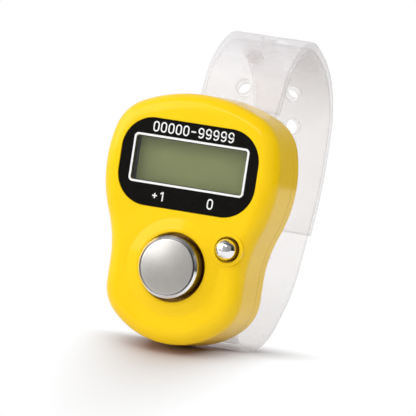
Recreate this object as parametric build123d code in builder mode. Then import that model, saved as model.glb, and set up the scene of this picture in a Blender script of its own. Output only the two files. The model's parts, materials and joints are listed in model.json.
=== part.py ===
"""Finger tally counter: a pear-shaped case with a display, two push buttons and a clear finger strap.

Millimetres. The case stands upright and faces -Y, +Z is up. The origin lies under the middle of the
whole object, on the surface that the case and the strap's foot stand on. Depths are measured from the
flat front of the case towards the back.
"""
import os
from math import radians, sqrt, tan

from build123d import *

# Case outline
case_height = 42.0
case_width = 30.8
lobe_height_share = 0.69
waist_shares = (0.786, 0.298)
flank_share = 0.48
top_radius_share = 0.812
shoulder_radius_share = 0.2435
bottom_radius_share = 0.471
heel_radius_share = 0.2275
front_edge_radius = 2.8
back_edge_radius = 1.7

# Case walls and the joint between the two shells
front_wall = 1.6
side_wall = 1.0
back_wall = 1.4
split_depth = 9.1
seam_gap = 0.1
tongue_height = 0.7
tongue_thickness = 0.45
tongue_clearance = 0.08

# Label, lens and window
label_place_share = 0.707
label_edge_gap = 0.3
label_height_share = 0.3525
label_corner_share = 0.372
label_thickness = 0.15
lens_thickness = 0.4
label_sink = 0.2
label_clearance = 0.08
window_place_share = 0.717
window_side_margin = 2.35
window_height_share = 0.507
window_corner_radius = 0.5

# Display
lcd_overlap = 1.3
lcd_thickness = 1.5
lcd_rim = 0.8
lcd_rim_wall = 0.7
lcd_clearance = 0.1
lcd_frame_wall = 0.8
lcd_frame_depth = 1.1
zebra_end_inset = 1.25
zebra_width = 1.2
zebra_height = 2.2
zebra_inset = 0.2

# Circuit board and what is soldered to it
board_thickness = 1.0
board_clearance = 0.25
spigot_clearance = 0.1
blob_height_share = 0.815
blob_radius = 3.0
blob_height = 1.2
chip_length = 1.6
chip_width = 0.8
capacitor_thickness = 0.8
resistor_thickness = 0.5
capacitor_shares = (0.21, 0.68)
resistor_shares = (-0.21, 0.68)
resistor_pitch = 2.4

# Count button
count_height_share = 0.307
count_radius_share = 0.1705
count_gap = 0.55
count_proud = 2.7
count_bevel = 0.4
count_rim = 0.4
count_face_crown = 0.4
count_face_thickness = 0.5
count_face_clearance = 0.06
count_cap_wall = 1.0
count_flange_reach = 0.4
count_flange_thickness = 0.9
count_stem_radius = 1.6
count_travel = 0.5
count_dome_radius = 3.5
count_collar_width = 2.4
count_collar_lip = 0.5
count_collar_rise = 0.5
count_collar_round = 0.25
guide_wall = 0.5
guide_clearance = 0.15
guide_margin = 1.3

# Reset button
reset_shares = (0.751, 0.41)
reset_radius_share = 0.0585
reset_well_gap = 0.4
reset_well_depth = 0.9
reset_proud = 2.5
reset_neck_clearance = 0.15
reset_flange_reach = 0.2
reset_flange_thickness = 0.7
reset_stem_radius = 0.8
reset_travel = 0.4
reset_dome_radius = 1.6
reset_lip_width = 0.6
reset_lip_rise = 0.2

# What both buttons share
button_rest_gap = 0.1
dome_gap = 0.1
dome_thickness = 0.15
dome_pressed_height = 0.25

# Screws and bosses
boss_spread_share = 0.234
boss_low_share = 0.0786
boss_radius_share = 0.0405
spigot_share = 0.676
spigot_drop = 0.1
screw_share = 0.353
screw_clearance = 0.08
screw_head_share = 0.706
screw_head_height = 0.8
screw_head_clearance = 0.2
screw_head_sink = 1.2
screw_length = 6.4
screw_slot_width = 0.3
screw_slot_depth = 0.35
boss_floor = 0.8

# Button cell, its well and its contacts
cell_height_share = 0.443
cell_radius = 5.8
cell_height = 3.1
cell_cap_step = 0.8
cell_rim_height = 0.5
cell_edge_radius = 0.3
cell_clearance = 0.4
well_wall = 0.9
well_board_gap = 1.0
leaf_thickness = 0.2
leaf_width = 3.0
leaf_foot = 1.8
leaf_span = 5.2
leaf_bend_radius = 0.6
negative_rise = 1.3
positive_width = 2.4
positive_slot_clearance = 0.4
positive_top_gap = 0.3
positive_tip_flare = 0.6
positive_foot = 2.0

# Battery door
door_over_cell = 0.9
door_screw_run = 5.3
door_thickness = 1.2
door_cell_gap = 0.3
door_clearance = 0.12
door_ledge = 1.0
door_ledge_width = 0.9
door_screw_inset = 3.0
door_screw_length = 2.6
door_boss_radius = 1.6
door_boss_depth = 2.0
door_tab_width = 5.0
door_tab_length = 0.8
door_tab_thickness = 0.5
door_lug_gap = 0.8

# Strap and the two lugs that it runs through
strap_width = 14.2
strap_thickness = 1.1
strap_layer_gap = 0.15
strap_loop_depth = 33.5
strap_over_case = 11.95
strap_slot_clearance = 0.15
lug_pad = 1.0
lug_bar = 1.1
lug_post = 1.1
lug_length = 2.8
lug_edge_radius = 0.4
strap_exit_gap = 1.8
strap_foot_clearance = 0.3
strap_sole_run = 10.0
strap_neck_shares = (0.13, 0.226)
strap_brow_shares = (0.214, 0.664)
strap_temple_shares = (0.353, 0.886)
strap_crown_share = 0.531
strap_shoulder_shares = (0.836, 0.918)
strap_back_height_shares = (0.785, 0.528)
strap_heel_shares = (0.829, 0.185)
strap_back_low_bend_share = 0.65
strap_back_high_bend_share = 0.5
strap_shoulder_bend_share = 0.44
strap_crown_bend_share = 0.55
strap_temple_bend_share = 0.4
strap_brow_bend_share = 0.33
strap_neck_bend_share = 0.36
strap_exit_bend_share = 0.36
strap_sole_bend_share = 0.47
strap_heel_bend_share = 0.3
strap_outer_tail_share = 0.432
strap_inner_tail_share = 0.82
strap_hole_radius = 1.2
strap_hole_pitch = 5.9
strap_hole_steps = (-1, 0, 1, 2, 3, 4, 5, 6, 7, 8, 9, 10)

# Stud
stud_clearance = 0.12
stud_head_radius = 2.0
stud_head_height = 0.9
stud_base_radius = 2.3
stud_base_height = 0.6
stud_seat_gap = 0.3

# How far a cut runs past what it cuts
overrun = 1.0

# Sizes worked out from the case's width and height
label_width = case_width - 2 * (front_edge_radius + label_edge_gap)
label_height = case_height * label_height_share
label_corner_radius = label_height * label_corner_share
window_width = label_width - 2 * window_side_margin
window_height = label_height * window_height_share
lcd_width = window_width + 2 * lcd_overlap
lcd_height = window_height + 2 * lcd_overlap
zebra_length = lcd_width - 2 * zebra_end_inset
count_cap_radius = case_width * count_radius_share
count_face_radius = count_cap_radius - count_rim
count_hole_radius = count_cap_radius + count_gap
count_flange_radius = count_hole_radius + count_flange_reach
count_collar_radius = count_hole_radius + count_collar_width
reset_ball_radius = case_width * reset_radius_share
reset_well_radius = reset_ball_radius + reset_well_gap
reset_neck_radius = reset_ball_radius + reset_neck_clearance
reset_flange_radius = reset_neck_radius + reset_flange_reach
boss_radius = case_height * boss_radius_share
spigot_radius = boss_radius * spigot_share
screw_radius = boss_radius * screw_share
screw_head_radius = boss_radius * screw_head_share
door_radius = cell_radius + door_over_cell
door_length = 2 * door_radius + door_screw_run

# Depths behind the flat front of the case, worked out from the stack of pieces
lens_depth = label_sink + label_thickness
recess_depth = lens_depth + lens_thickness
lcd_depth = front_wall + lcd_rim
board_front = lcd_depth + lcd_thickness + zebra_height
board_back = board_front + board_thickness
cell_front = board_back + negative_rise
cell_back = cell_front + cell_height
door_depth = cell_back + door_cell_gap
case_depth = door_depth + door_thickness
back_inside = case_depth - back_wall
ledge_depth = door_depth - door_ledge
positive_reach = ledge_depth - board_back - positive_top_gap
strap_run_depth = case_depth + lug_pad + strap_slot_clearance + strap_thickness / 2
strap_back = strap_run_depth + strap_loop_depth + strap_thickness / 2
count_crown = count_proud + count_face_crown
count_dome_height = count_travel - dome_gap + dome_pressed_height
reset_dome_height = reset_travel - dome_gap + dome_pressed_height
front_y = (count_crown - strap_back) / 2

# Places across and up the case
half_width = case_width / 2
lobe_z = case_height * lobe_height_share
waist_x = half_width * waist_shares[0]
waist_z = case_height * waist_shares[1]
flank_x = waist_x + (half_width - waist_x) * flank_share
flank_z = waist_z + (lobe_z - waist_z) * flank_share
top_radius = case_width * top_radius_share
shoulder_radius = case_width * shoulder_radius_share
bottom_radius = case_width * bottom_radius_share
heel_radius = case_width * heel_radius_share
label_z = case_height * label_place_share
window_z = case_height * window_place_share
count_z = case_height * count_height_share
reset_x = waist_x * reset_shares[0]
reset_z = case_height * reset_shares[1]
cell_z = case_height * cell_height_share
door_z = cell_z + door_length / 2 - door_radius
door_screw_z = door_z + door_length / 2 - door_screw_inset
boss_x = case_width * boss_spread_share
boss_high_z = window_z + lcd_height / 2 + lcd_clearance + boss_radius
boss_places = [(-boss_x, boss_high_z), (boss_x, boss_high_z), (0, case_height * boss_low_share)]
door_high_z = door_z + door_length / 2
door_low_z = door_z - door_length / 2 - door_tab_length - door_clearance
upper_lug_z = door_high_z + door_lug_gap + lug_length / 2
lower_lug_z = door_low_z - door_lug_gap - lug_length / 2


def face_at(depth):
    """The plane at a depth behind the case's front: X to the right, Y up, normal towards the front."""
    return Plane.XZ.offset(-(front_y + depth))


def axis_at(x, z):
    """An axis along the depth through a place on the front."""
    return Axis((x, 0, z), (0, 1, 0))


def turned_plane(x, z):
    """The plane for a profile that is turned about such an axis: X outwards, Y towards the back."""
    return Plane(origin=(x, front_y, z), x_dir=(1, 0, 0), z_dir=(0, 0, 1))


def blend_center(center_a, radius_a, center_b, radius_b, blend_radius):
    """The centre of an arc that lies inside two larger arcs and touches both, left of the way from a to b."""
    way = center_b - center_a
    reach_a = radius_a - blend_radius
    reach_b = radius_b - blend_radius
    along = (reach_a**2 - reach_b**2 + way.length**2) / (2 * way.length)
    across = sqrt(reach_a**2 - along**2)
    ahead = way.normalized()
    return center_a + ahead * along + ahead.rotate(Axis.Z, 90) * across


def strap_plane(route, distance):
    """The plane across the strap at a distance along its route: X over its width, normal out of the loop."""
    along = route.tangent_at(distance, PositionMode.LENGTH)
    return Plane(route.position_at(distance, PositionMode.LENGTH), (1, 0, 0), along.rotate(Axis.X, -90))


def inset_corner(before, corner, after, amount):
    """A corner of a path that turns left, moved inwards so that both of its runs move by the amount."""
    arriving = (corner - before).normalized().rotate(Axis.Z, 90)
    leaving = (after - corner).normalized().rotate(Axis.Z, 90)
    return corner + (arriving + leaving) * (amount / (1 + arriving.dot(leaving)))


def half_turn(before, corner, after):
    """The tangent of half the angle by which a path turns at a corner."""
    return tan(radians((corner - before).get_angle(after - corner)) / 2)


def bend_radius(before, corner, after, share):
    """The radius of a bend that takes up a share of the shorter run at a corner."""
    run = min((corner - before).length, (after - corner).length)
    return share * run / half_turn(before, corner, after)


# Where the arcs of the pear outline touch, on its right half
flank_run = Vector(half_width - waist_x, lobe_z - waist_z)
lobe_radius = (1 - flank_share) * flank_run.length**2 / (2 * flank_run.X)
lobe_center = Vector(half_width - lobe_radius, lobe_z)
top_center = Vector(0, case_height - top_radius)
bottom_center = Vector(0, bottom_radius)
shoulder_center = blend_center(lobe_center, lobe_radius, top_center, top_radius, shoulder_radius)
shoulder_low = lobe_center + (shoulder_center - lobe_center).normalized() * lobe_radius
shoulder_high = top_center + (shoulder_center - top_center).normalized() * top_radius
heel_reach = waist_x - heel_radius
heel_rise = bottom_radius - sqrt((bottom_radius - heel_radius) ** 2 - heel_reach**2)
heel_center = Vector(heel_reach, heel_rise)
heel_low = bottom_center + (heel_center - bottom_center).normalized() * bottom_radius

# Pear outline of the case, half of it drawn and then mirrored
with BuildSketch() as outline:
    with BuildLine():
        bottom = TangentArc((0, 0), heel_low, tangent=(1, 0))
        heel = TangentArc(bottom @ 1, (waist_x, heel_rise), tangent=bottom % 1)
        Line(heel @ 1, (waist_x, waist_z))
        flank = TangentArc((waist_x, waist_z), (flank_x, flank_z), tangent=(0, 1))
        lobe = TangentArc(flank @ 1, shoulder_low, tangent=flank % 1)
        shoulder = TangentArc(lobe @ 1, shoulder_high, tangent=lobe % 1)
        TangentArc(shoulder @ 1, (0, case_height), tangent=shoulder % 1)
        mirror(about=Plane.YZ)
    make_face()

count_axis = axis_at(0, count_z)
reset_axis = axis_at(reset_x, reset_z)
guide_radius = count_flange_radius + guide_clearance
guide_depth = button_rest_gap + count_flange_thickness + count_travel + guide_margin
flange_depth = front_wall + button_rest_gap

# Front shell
with BuildPart() as front_shell:
    with BuildSketch(face_at(0)):
        add(outline.sketch)
    extrude(amount=-(split_depth - seam_gap / 2))
    fillet(front_shell.faces().sort_by(Axis.Y)[0].edges(), radius=front_edge_radius)
    # Raised collar round the count button's hole
    with BuildSketch(turned_plane(0, count_z)):
        with BuildLine():
            Polyline(
                (0, front_wall / 2),
                (0, -count_collar_rise),
                (count_hole_radius + count_collar_lip, -count_collar_rise),
                (count_collar_radius, 0),
                (count_collar_radius, front_wall / 2),
                close=True,
            )
        make_face()
    revolve(axis=count_axis)
    # Small lip round the reset button's well
    with BuildSketch(face_at(front_wall / 2)):
        with Locations((reset_x, reset_z)):
            Circle(reset_well_radius + reset_lip_width)
    extrude(amount=front_wall / 2 + reset_lip_rise)
    # Hollow inside
    with BuildSketch(face_at(front_wall)):
        offset(outline.sketch, amount=-side_wall)
    extrude(amount=-split_depth, mode=Mode.SUBTRACT)
    # Tongue that reaches into the back shell
    with BuildSketch(face_at(split_depth - tongue_height)):
        offset(outline.sketch, amount=-(side_wall - tongue_thickness))
        offset(outline.sketch, amount=-side_wall, mode=Mode.SUBTRACT)
    extrude(amount=-2 * tongue_height)
    # Rim that the display rests on, and the frame round the display
    with BuildSketch(face_at(front_wall)):
        with Locations((0, window_z)):
            Rectangle(window_width + 2 * lcd_rim_wall, window_height + 2 * lcd_rim_wall)
    extrude(amount=-lcd_rim)
    with BuildSketch(face_at(front_wall)):
        with Locations((0, window_z)):
            Rectangle(
                lcd_width + 2 * (lcd_clearance + lcd_frame_wall),
                lcd_height + 2 * (lcd_clearance + lcd_frame_wall),
            )
            Rectangle(lcd_width + 2 * lcd_clearance, lcd_height + 2 * lcd_clearance, mode=Mode.SUBTRACT)
    extrude(amount=-(lcd_rim + lcd_frame_depth))
    # Guide tube for the count button's flange
    with BuildSketch(face_at(front_wall)):
        with Locations((0, count_z)):
            Circle(guide_radius + guide_wall)
            Circle(guide_radius, mode=Mode.SUBTRACT)
    extrude(amount=-guide_depth)
    # Screw bosses with the spigots that locate the board
    with BuildSketch(face_at(front_wall)):
        with Locations(*boss_places):
            Circle(boss_radius)
    extrude(amount=-(board_front - front_wall))
    with BuildSketch(face_at(board_front)):
        with Locations(*boss_places):
            Circle(spigot_radius)
    extrude(amount=-(board_thickness - spigot_drop))
    with BuildSketch(face_at(front_wall + boss_floor)):
        with Locations(*boss_places):
            Circle(screw_radius + screw_clearance)
    extrude(amount=-board_back, mode=Mode.SUBTRACT)
    # Recess for the lens and label, then the window
    with BuildSketch(face_at(0)):
        with Locations((0, label_z)):
            RectangleRounded(label_width, label_height, label_corner_radius)
    extrude(amount=-recess_depth, mode=Mode.SUBTRACT)
    with BuildSketch(face_at(0)):
        with Locations((0, window_z)):
            RectangleRounded(window_width, window_height, window_corner_radius)
    extrude(amount=-lcd_depth, mode=Mode.SUBTRACT)
    # Holes for the two buttons
    with BuildSketch(face_at(-count_collar_rise - overrun)):
        with Locations((0, count_z)):
            Circle(count_hole_radius)
    extrude(amount=-(front_wall + count_collar_rise + overrun), mode=Mode.SUBTRACT)
    with BuildSketch(face_at(-overrun)):
        with Locations((reset_x, reset_z)):
            Circle(reset_neck_radius)
    extrude(amount=-(front_wall + overrun), mode=Mode.SUBTRACT)
    with BuildSketch(face_at(-overrun)):
        with Locations((reset_x, reset_z)):
            Circle(reset_well_radius)
    extrude(amount=-(reset_well_depth + overrun), mode=Mode.SUBTRACT)
    collar_edges = front_shell.edges().filter_by(GeomType.CIRCLE).group_by(Axis.Y)[0]
    fillet(collar_edges, radius=count_collar_round)

# Back shell
lug_width = strap_width + 2 * (strap_slot_clearance + lug_post)
lug_slot = strap_thickness + 2 * strap_slot_clearance
lug_height = lug_pad + lug_slot + lug_bar
with BuildPart() as back_shell:
    with BuildSketch(face_at(split_depth + seam_gap / 2)):
        add(outline.sketch)
    extrude(amount=-(case_depth - split_depth - seam_gap / 2))
    fillet(back_shell.faces().sort_by(Axis.Y)[-1].edges(), radius=back_edge_radius)
    # Hollow inside, and the step that takes the front shell's tongue
    with BuildSketch(face_at(split_depth - overrun)):
        offset(outline.sketch, amount=-side_wall)
    extrude(amount=-(back_inside - split_depth + overrun), mode=Mode.SUBTRACT)
    with BuildSketch(face_at(split_depth - overrun)):
        offset(outline.sketch, amount=-(side_wall - tongue_thickness - tongue_clearance))
        offset(outline.sketch, amount=-side_wall, mode=Mode.SUBTRACT)
    extrude(amount=-(overrun + tongue_height + tongue_clearance), mode=Mode.SUBTRACT)
    # Thick seat for the battery door, the well round the cell and the door screw's boss
    with BuildSketch(face_at(ledge_depth)):
        with Locations((0, door_z)):
            SlotOverall(door_length + 2 * door_ledge_width, 2 * (door_radius + door_ledge_width), rotation=90)
    extrude(amount=-(back_inside - ledge_depth))
    with BuildSketch(face_at(board_back + well_board_gap)):
        with Locations((0, cell_z)):
            Circle(cell_radius + cell_clearance + well_wall)
    extrude(amount=-(ledge_depth - board_back - well_board_gap))
    with BuildSketch(face_at(ledge_depth - door_boss_depth)):
        with Locations((0, door_screw_z)):
            Circle(door_boss_radius)
    extrude(amount=-door_boss_depth)
    # Screw posts that clamp the board
    with BuildSketch(face_at(board_back)):
        with Locations(*boss_places):
            Circle(boss_radius)
    extrude(amount=-(back_inside - board_back))
    # Lugs for the strap
    with BuildSketch(face_at(case_depth - back_wall / 2)):
        with Locations((0, upper_lug_z), (0, lower_lug_z)):
            RectangleRounded(lug_width, lug_length, lug_edge_radius)
    extrude(amount=-(back_wall / 2 + lug_height))
    with BuildSketch(face_at(case_depth + lug_pad)):
        with Locations((0, upper_lug_z), (0, lower_lug_z)):
            Rectangle(strap_width + 2 * strap_slot_clearance, lug_length + 2 * overrun)
    extrude(amount=-lug_slot, mode=Mode.SUBTRACT)
    # Opening for the cell, the door's recess and the pocket for its tab
    with BuildSketch(face_at(board_back)):
        with Locations((0, cell_z)):
            Circle(cell_radius + cell_clearance)
    extrude(amount=-(case_depth - board_back), mode=Mode.SUBTRACT)
    with BuildSketch(face_at(door_depth)):
        with Locations((0, door_z)):
            SlotOverall(door_length + 2 * door_clearance, 2 * (door_radius + door_clearance), rotation=90)
    extrude(amount=-door_thickness, mode=Mode.SUBTRACT)
    with BuildSketch(face_at(door_depth)):
        with Locations((0, door_z - door_length / 2)):
            Rectangle(door_tab_width + 2 * door_clearance, 2 * (door_tab_length + door_clearance))
    extrude(amount=-(door_tab_thickness + door_clearance), mode=Mode.SUBTRACT)
    # Slot in the well for the positive contact
    with BuildSketch(face_at(board_back)):
        with Locations((cell_radius + cell_clearance, cell_z)):
            Rectangle(2 * (cell_clearance + well_wall), positive_width + 2 * positive_slot_clearance)
    extrude(amount=-(ledge_depth - board_back), mode=Mode.SUBTRACT)
    # Holes for the screws
    with BuildSketch(face_at(board_back - overrun)):
        with Locations(*boss_places):
            Circle(screw_radius + screw_clearance)
    extrude(amount=-(case_depth - board_back + 2 * overrun), mode=Mode.SUBTRACT)
    with BuildSketch(face_at(case_depth - screw_head_sink - screw_head_height)):
        with Locations(*boss_places):
            Circle(screw_head_radius + screw_head_clearance)
    extrude(amount=-(screw_head_sink + screw_head_height + overrun), mode=Mode.SUBTRACT)
    with BuildSketch(face_at(ledge_depth - door_boss_depth)):
        with Locations((0, door_screw_z)):
            Circle(screw_radius + screw_clearance)
    extrude(amount=-(door_depth - ledge_depth + door_boss_depth), mode=Mode.SUBTRACT)

# Battery door with its tab and the counterbore for its screw
with BuildPart() as battery_door:
    with BuildSketch(face_at(door_depth)):
        with Locations((0, door_z)):
            SlotOverall(door_length, 2 * door_radius, rotation=90)
    extrude(amount=-door_thickness)
    with BuildSketch(face_at(door_depth)):
        with Locations((0, door_z - door_length / 2)):
            Rectangle(door_tab_width, 2 * door_tab_length)
    extrude(amount=-door_tab_thickness)
    with BuildSketch(face_at(door_depth)):
        with Locations((0, door_screw_z)):
            Circle(screw_radius + screw_clearance)
    extrude(amount=-door_thickness, mode=Mode.SUBTRACT)
    with BuildSketch(face_at(case_depth - screw_head_height)):
        with Locations((0, door_screw_z)):
            Circle(screw_head_radius + screw_head_clearance)
    extrude(amount=-screw_head_height, mode=Mode.SUBTRACT)


def screw_at(x, z, head_depth, length):
    """A slotted pan screw that goes in from the back, with the underside of its head at a depth."""
    with BuildPart() as screw:
        with BuildSketch(face_at(head_depth)):
            with Locations((x, z)):
                Circle(screw_radius)
        extrude(amount=length)
        with BuildSketch(face_at(head_depth)):
            with Locations((x, z)):
                Circle(screw_head_radius)
        extrude(amount=-screw_head_height)
        with BuildSketch(face_at(head_depth + screw_head_height)):
            with Locations((x, z)):
                Rectangle(2 * screw_head_radius, screw_slot_width)
        extrude(amount=screw_slot_depth, mode=Mode.SUBTRACT)
    return screw.part


case_screw_head = case_depth - screw_head_sink - screw_head_height
case_screw_solids = [screw_at(x, z, case_screw_head, screw_length) for x, z in boss_places]
with BuildPart() as case_screws:
    add(case_screw_solids)

with BuildPart() as door_screw:
    add(screw_at(0, door_screw_z, case_depth - screw_head_height, door_screw_length))

# Clear lens on the floor of the recess, with the printed label on its front
with BuildPart() as display_lens:
    with BuildSketch(face_at(lens_depth)):
        with Locations((0, label_z)):
            RectangleRounded(
                label_width - 2 * label_clearance,
                label_height - 2 * label_clearance,
                label_corner_radius - label_clearance,
            )
    extrude(amount=-lens_thickness)

with BuildPart() as label_panel:
    with BuildSketch(face_at(label_sink)):
        with Locations((0, label_z)):
            RectangleRounded(
                label_width - 2 * label_clearance,
                label_height - 2 * label_clearance,
                label_corner_radius - label_clearance,
            )
        with Locations((0, window_z)):
            RectangleRounded(window_width, window_height, window_corner_radius, mode=Mode.SUBTRACT)
    extrude(amount=-label_thickness)

# Display glass on its rim
with BuildPart() as lcd_panel:
    with BuildSketch(face_at(lcd_depth)):
        with Locations((0, window_z)):
            Rectangle(lcd_width, lcd_height)
    extrude(amount=-lcd_thickness)

# Elastomer connector between the display's lower edge and the board
with BuildPart() as zebra_strip:
    with BuildSketch(face_at(lcd_depth + lcd_thickness)):
        with Locations((0, window_z - lcd_height / 2 + zebra_inset + zebra_width / 2)):
            Rectangle(zebra_length, zebra_width)
    extrude(amount=-zebra_height)

# Circuit board on the bosses, with a hole for each spigot
with BuildPart() as circuit_board:
    with BuildSketch(face_at(board_front)):
        offset(outline.sketch, amount=-(side_wall + board_clearance))
        with Locations(*boss_places):
            Circle(spigot_radius + spigot_clearance, mode=Mode.SUBTRACT)
    extrude(amount=-board_thickness)

# Epoxy blob over the chip
with BuildPart() as chip_blob:
    blob_z = case_height * blob_height_share
    with BuildSketch(turned_plane(0, blob_z)):
        with BuildLine():
            rim = Line((0, board_back), (blob_radius, board_back))
            crown = TangentArc((0, board_back + blob_height), rim @ 1, tangent=(1, 0))
            Line(crown @ 0, rim @ 0)
        make_face()
    revolve(axis=axis_at(0, blob_z))

# Capacitor and resistors on the back of the board
with BuildPart() as chip_capacitor:
    with BuildSketch(face_at(board_back)):
        with Locations((case_width * capacitor_shares[0], case_height * capacitor_shares[1])):
            Rectangle(chip_length, chip_width)
    extrude(amount=-capacitor_thickness)

with BuildPart() as chip_resistors:
    with BuildSketch(face_at(board_back)):
        with Locations((case_width * resistor_shares[0], case_height * resistor_shares[1])):
            with GridLocations(0, resistor_pitch, 1, 2):
                Rectangle(chip_length, chip_width)
    extrude(amount=-resistor_thickness)

# Count button: a hollow cap with a recess for its face, a flange behind the wall and a stem
face_floor = count_face_thickness - count_proud
with BuildPart() as count_button:
    with BuildSketch(turned_plane(0, count_z)):
        with BuildLine():
            Polyline(
                (0, face_floor),
                (count_face_radius + count_face_clearance, face_floor),
                (count_face_radius + count_face_clearance, -count_proud),
                (count_cap_radius, count_bevel - count_proud),
                (count_cap_radius, flange_depth),
                (count_flange_radius, flange_depth),
                (count_flange_radius, flange_depth + count_flange_thickness),
                (count_cap_radius - count_cap_wall, flange_depth + count_flange_thickness),
                (count_cap_radius - count_cap_wall, face_floor + count_cap_wall),
                (count_stem_radius, face_floor + count_cap_wall),
                (count_stem_radius, board_front - count_dome_height - dome_gap),
                (0, board_front - count_dome_height - dome_gap),
                close=True,
            )
        make_face()
    revolve(axis=count_axis)

with BuildPart() as count_face:
    with BuildSketch(turned_plane(0, count_z)):
        with BuildLine():
            foot = Line((0, face_floor), (count_face_radius, face_floor))
            side = Line(foot @ 1, (count_face_radius, -count_proud))
            crown = TangentArc((0, -count_crown), side @ 1, tangent=(1, 0))
            Line(crown @ 0, foot @ 0)
        make_face()
    revolve(axis=count_axis)

# Reset button: a ball on a neck, with a flange behind the wall and a stem
ball_depth = reset_ball_radius - reset_proud
with BuildPart() as reset_button:
    with BuildSketch(turned_plane(reset_x, reset_z)):
        with BuildLine():
            ball = TangentArc((0, -reset_proud), (reset_ball_radius, ball_depth), tangent=(1, 0))
            Polyline(
                ball @ 1,
                (reset_ball_radius, flange_depth),
                (reset_flange_radius, flange_depth),
                (reset_flange_radius, flange_depth + reset_flange_thickness),
                (reset_stem_radius, flange_depth + reset_flange_thickness),
                (reset_stem_radius, board_front - reset_dome_height - dome_gap),
                (0, board_front - reset_dome_height - dome_gap),
                ball @ 0,
            )
        make_face()
    revolve(axis=reset_axis)


def snap_dome(x, z, radius, height):
    """A thin metal dome that stands on the front of the board."""
    with BuildPart() as dome:
        with BuildSketch(turned_plane(x, z)):
            with BuildLine():
                outer = TangentArc((0, board_front - height), (radius, board_front), tangent=(1, 0))
                foot = Line(outer @ 1, (radius - dome_thickness, board_front))
                inner = TangentArc((0, board_front - height + dome_thickness), foot @ 1, tangent=(1, 0))
                Line(inner @ 0, outer @ 0)
            make_face()
        revolve(axis=axis_at(x, z))
    return dome.part


with BuildPart() as count_dome:
    add(snap_dome(0, count_z, count_dome_radius, count_dome_height))

with BuildPart() as reset_dome:
    add(snap_dome(reset_x, reset_z, reset_dome_radius, reset_dome_height))

# Button cell: the can faces the door, the smaller cap faces the board
with BuildPart() as button_cell:
    with BuildSketch(face_at(cell_front)):
        with Locations((0, cell_z)):
            Circle(cell_radius - cell_cap_step)
    extrude(amount=-cell_height)
    with BuildSketch(face_at(cell_front + cell_rim_height)):
        with Locations((0, cell_z)):
            Circle(cell_radius)
    extrude(amount=-(cell_height - cell_rim_height))
    fillet(button_cell.faces().sort_by(Axis.Y)[-1].edges(), radius=cell_edge_radius)

# Bowed leaf on the board under the cell
with BuildPart() as contact_negative:
    with BuildSketch(Plane.YZ):
        low = front_y + board_back + leaf_thickness / 2
        high = front_y + cell_front - leaf_thickness / 2
        with BuildLine():
            FilletPolyline(
                (low, cell_z - leaf_span / 2 - leaf_foot),
                (low, cell_z - leaf_span / 2),
                (high, cell_z),
                (low, cell_z + leaf_span / 2),
                radius=leaf_bend_radius,
            )
        trace(line_width=leaf_thickness)
    extrude(amount=leaf_width / 2, both=True)

# Leaf that stands on the board and leans on the rim of the cell
with BuildPart() as contact_positive:
    with BuildSketch(Plane.XY.offset(cell_z)):
        touch = cell_radius + leaf_thickness / 2
        root = cell_radius + cell_clearance + well_wall
        low = front_y + board_back + leaf_thickness / 2
        with BuildLine():
            FilletPolyline(
                (root + positive_foot, low),
                (root, low),
                (touch, low + positive_reach / 2),
                (touch + positive_tip_flare, low + positive_reach),
                radius=leaf_bend_radius,
            )
        trace(line_width=leaf_thickness)
    extrude(amount=positive_width / 2, both=True)

# Corners of the strap's outer layer, in depth and height, from the back over the top to the sole
strap_floor = strap_thickness / 2
strap_top = case_height + strap_over_case
strap_loop_height = strap_top - strap_floor
strap_exit_z = upper_lug_z + lug_length / 2 + strap_exit_gap
strap_rise = strap_top - strap_exit_z


def loop_point(depth_share, height):
    """A place on the strap's route, from its share of the loop's depth and its height."""
    return Vector(front_y + strap_run_depth + strap_loop_depth * depth_share, height)


heel_corner = loop_point(strap_heel_shares[0], strap_floor + strap_loop_height * strap_heel_shares[1])
back_low = loop_point(1, strap_floor + strap_loop_height * strap_back_height_shares[1])
back_high = loop_point(1, strap_floor + strap_loop_height * strap_back_height_shares[0])
shoulder = loop_point(strap_shoulder_shares[0], strap_floor + strap_loop_height * strap_shoulder_shares[1])
crown = loop_point(strap_crown_share, strap_top)
temple = loop_point(strap_temple_shares[0], strap_exit_z + strap_rise * strap_temple_shares[1])
brow = loop_point(strap_brow_shares[0], strap_exit_z + strap_rise * strap_brow_shares[1])
neck = loop_point(strap_neck_shares[0], strap_exit_z + strap_rise * strap_neck_shares[1])
exit_corner = loop_point(0, strap_exit_z)
foot_corner = loop_point(0, strap_floor)
strap_foot_radius = lower_lug_z - lug_length / 2 - strap_foot_clearance - strap_floor
sole_corner = foot_corner + Vector(strap_foot_radius + strap_sole_run, 0)

# The inner layer lies one thickness and one gap inside the outer one
layer_step = strap_thickness + strap_layer_gap
inner_heel = inset_corner(sole_corner, heel_corner, back_low, layer_step)
inner_back_low = inset_corner(heel_corner, back_low, back_high, layer_step)
inner_back_high = inset_corner(back_low, back_high, shoulder, layer_step)
inner_shoulder = inset_corner(back_high, shoulder, crown, layer_step)
inner_crown = inset_corner(shoulder, crown, temple, layer_step)
inner_temple = inset_corner(crown, temple, brow, layer_step)
inner_brow = inset_corner(temple, brow, neck, layer_step)
inner_tail = inner_brow + (neck - brow) * strap_inner_tail_share
outer_tail = back_low + (heel_corner - back_low) * strap_outer_tail_share
back_low_radius = bend_radius(outer_tail, back_low, back_high, strap_back_low_bend_share)
back_high_radius = bend_radius(back_low, back_high, shoulder, strap_back_high_bend_share)
shoulder_bend_radius = bend_radius(back_high, shoulder, crown, strap_shoulder_bend_share)
crown_radius = bend_radius(shoulder, crown, temple, strap_crown_bend_share)
temple_radius = bend_radius(crown, temple, brow, strap_temple_bend_share)
brow_radius = bend_radius(temple, brow, neck, strap_brow_bend_share)
neck_radius = bend_radius(brow, neck, exit_corner, strap_neck_bend_share)
exit_radius = bend_radius(neck, exit_corner, foot_corner, strap_exit_bend_share)
sole_radius = bend_radius(foot_corner, sole_corner, inner_heel, strap_sole_bend_share)
strap_heel_radius = bend_radius(sole_corner, inner_heel, inner_back_low, strap_heel_bend_share)

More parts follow.
